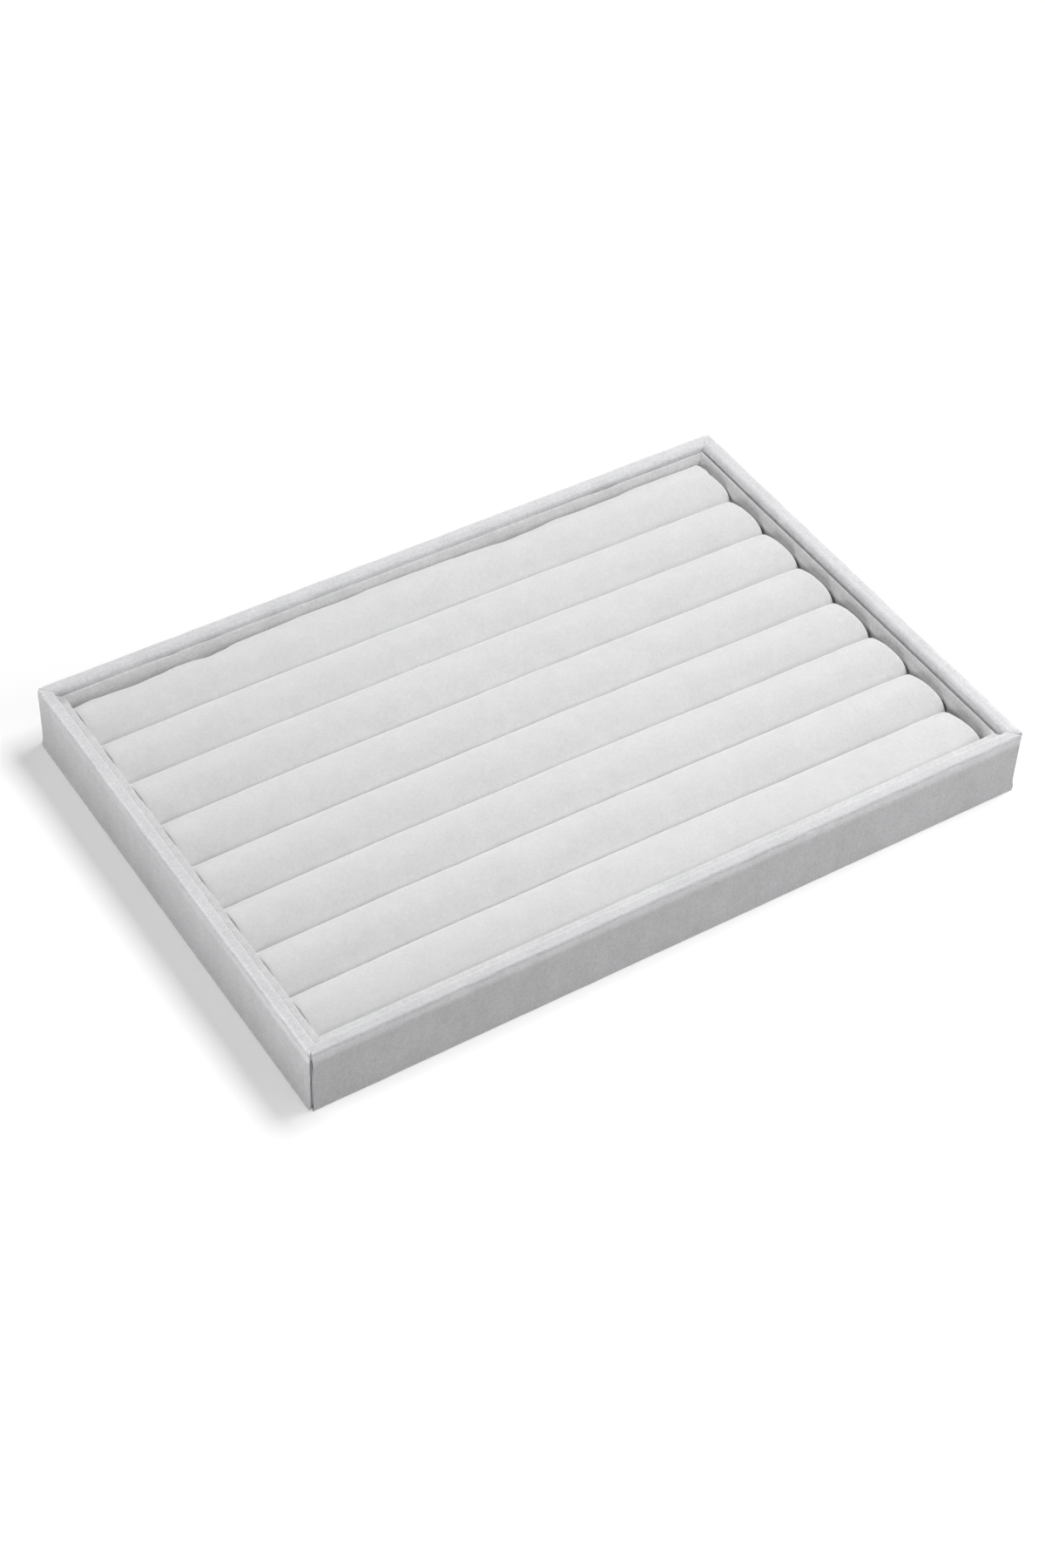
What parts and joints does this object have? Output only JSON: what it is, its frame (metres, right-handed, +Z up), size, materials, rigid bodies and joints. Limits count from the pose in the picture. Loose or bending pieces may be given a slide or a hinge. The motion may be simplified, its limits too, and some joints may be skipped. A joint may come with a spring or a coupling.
{
  "type": "ring tray",
  "caption": "Shallow velvet-covered display tray whose padded rolls hold rings upright in the grooves between them; the roll insert lifts out of the tray.",
  "frame": {"origin": "centre of the underside, on the surface that the tray stands on", "axes": "+X along the tray and its rolls, +Y across it towards the back, +Z up"},
  "size_m": [0.35, 0.238, 0.0325],
  "materials": {
    "wall_velvet": "short-pile velvet, pale cool grey",
    "lining_velvet": "thin short-pile velvet, pale cool grey",
    "roll_velvet": "short-pile velvet, pale grey",
    "floor_velvet": "thin flocked lining, pale grey",
    "felt": "pressed felt, mid grey",
    "fibreboard": "raw fibreboard",
    "greyboard": "raw greyboard",
    "foam": "open-cell foam"
  },
  "bodies": {
    "tray": {"base_felt": "felt", "base_board": "fibreboard", "floor_lining": "floor_velvet", "front_wall_board": "fibreboard", "right_wall_board": "fibreboard", "back_wall_board": "fibreboard", "left_wall_board": "fibreboard", "front_wall_velvet": "wall_velvet", "right_wall_velvet": "wall_velvet", "back_wall_velvet": "wall_velvet", "left_wall_velvet": "wall_velvet", "front_lining_card": "greyboard", "right_lining_card": "greyboard", "back_lining_card": "greyboard", "left_lining_card": "greyboard", "front_lining_velvet": "lining_velvet", "right_lining_velvet": "lining_velvet", "back_lining_velvet": "lining_velvet", "left_lining_velvet": "lining_velvet"},
    "roll_insert": {"insert_board": "greyboard", "foam_roll_1": "foam", "foam_roll_2": "foam", "foam_roll_3": "foam", "foam_roll_4": "foam", "foam_roll_5": "foam", "foam_roll_6": "foam", "foam_roll_7": "foam", "foam_roll_8": "foam", "velvet_roll_1": "roll_velvet", "velvet_roll_2": "roll_velvet", "velvet_roll_3": "roll_velvet", "velvet_roll_4": "roll_velvet", "velvet_roll_5": "roll_velvet", "velvet_roll_6": "roll_velvet", "velvet_roll_7": "roll_velvet", "velvet_roll_8": "roll_velvet"}
  },
  "joints": [
    {"name": "insert_lift", "type": "slide", "parent": "tray", "child": "roll_insert", "axis": [0, 0, 1], "range_m": [0, 0.045]}
  ]
}
